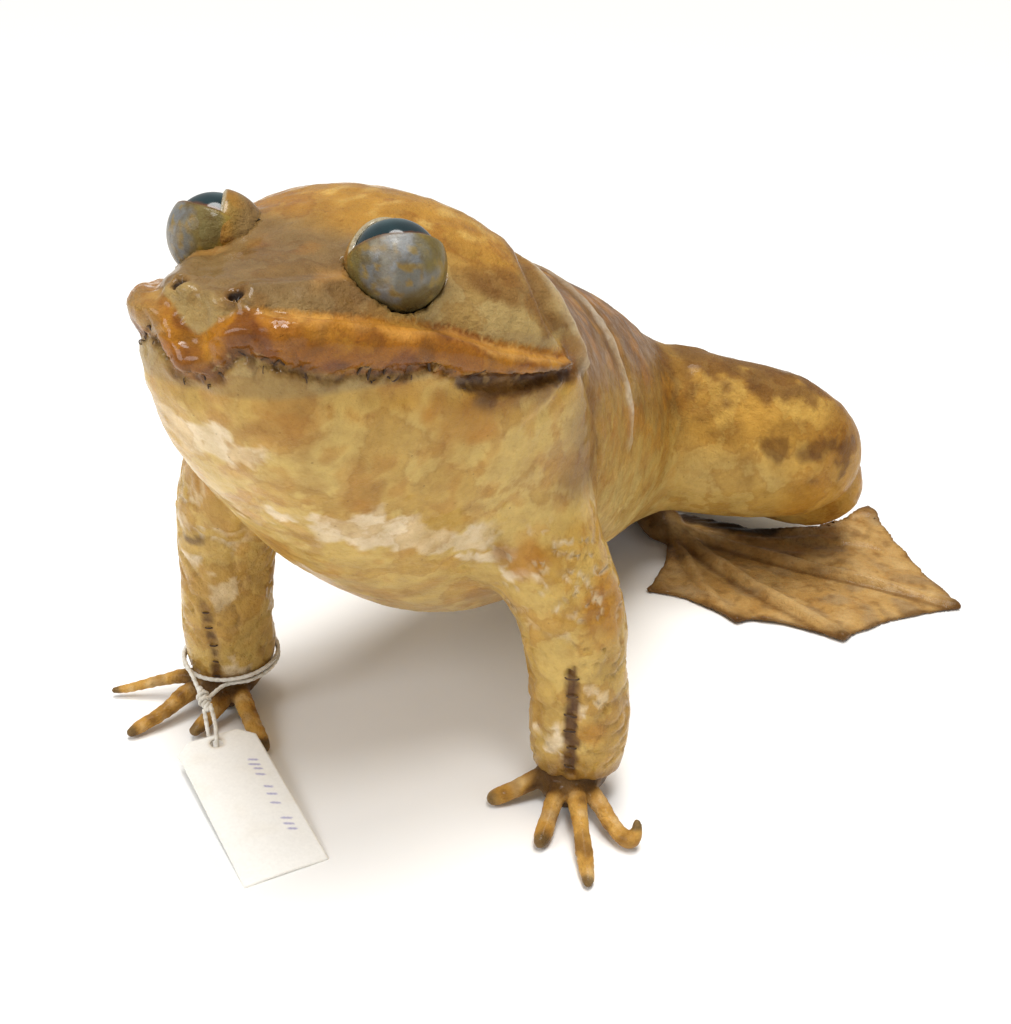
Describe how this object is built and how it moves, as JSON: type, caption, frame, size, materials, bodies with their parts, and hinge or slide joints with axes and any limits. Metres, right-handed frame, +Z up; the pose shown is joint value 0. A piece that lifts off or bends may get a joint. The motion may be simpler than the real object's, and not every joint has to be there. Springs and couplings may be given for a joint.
{
  "type": "stuffed bullfrog mount",
  "caption": "Stuffed, varnished bullfrog standing on straight front arms, hind legs folded and webbed feet spread, with a strung paper tag hinged on the string at its right wrist.",
  "frame": {"origin": "on the surface the mount stands on, under the middle of the whole mount", "axes": "+Z up; the frog looks along -Y, so the length is along Y; +X is the frog's left"},
  "size_m": [0.2266, 0.2376, 0.1364],
  "materials": {
    "hide": "gloss",
    "dried_foot": "satin",
    "eyelid": "gloss",
    "eye_glass": "polished",
    "putty": "matte",
    "bone": "matte",
    "tow": "matte",
    "core_wood": "matte",
    "wire": "satin",
    "thread": "matte",
    "string": "matte",
    "tag_paper": "matte"
  },
  "bodies": {
    "frog": {"head_and_trunk_skin": "hide", "left_arm_skin": "hide", "left_thigh_skin": "hide", "left_shank_skin": "hide", "right_arm_skin": "hide", "right_thigh_skin": "hide", "right_shank_skin": "hide", "left_hand": "dried_foot", "right_hand": "dried_foot", "left_hind_foot": "dried_foot", "right_hind_foot": "dried_foot", "left_arm_filling": "tow", "left_thigh_filling": "tow", "left_shank_filling": "tow", "right_arm_filling": "tow", "right_thigh_filling": "tow", "right_shank_filling": "tow", "trunk_filling": "tow", "throat_filling": "tow", "left_arm_wire": "wire", "left_leg_wire": "wire", "right_arm_wire": "wire", "right_leg_wire": "wire", "back_wire": "wire", "left_glass_eye": "eye_glass", "right_glass_eye": "eye_glass", "left_eye_putty": "putty", "right_eye_putty": "putty", "left_lower_eyelid": "eyelid", "right_lower_eyelid": "eyelid", "skull": "bone", "lower_jaw_bone": "bone", "wood_core": "core_wood", "mouth_seam_thread": "thread", "belly_seam_thread": "thread", "left_arm_seam_thread": "thread", "right_arm_seam_thread": "thread", "tag_string_loop": "string", "tag_string_knot": "string", "tag_string_lead": "string"},
    "tag": {"paper_tag": "tag_paper"}
  },
  "joints": [
    {"name": "tag_flip", "type": "hinge", "parent": "frog", "child": "tag", "pos_m": [-0.0308, -0.0846, 0.0046], "axis": [-0.5446, -0.8387, 0], "range_deg": [0, 100]}
  ]
}
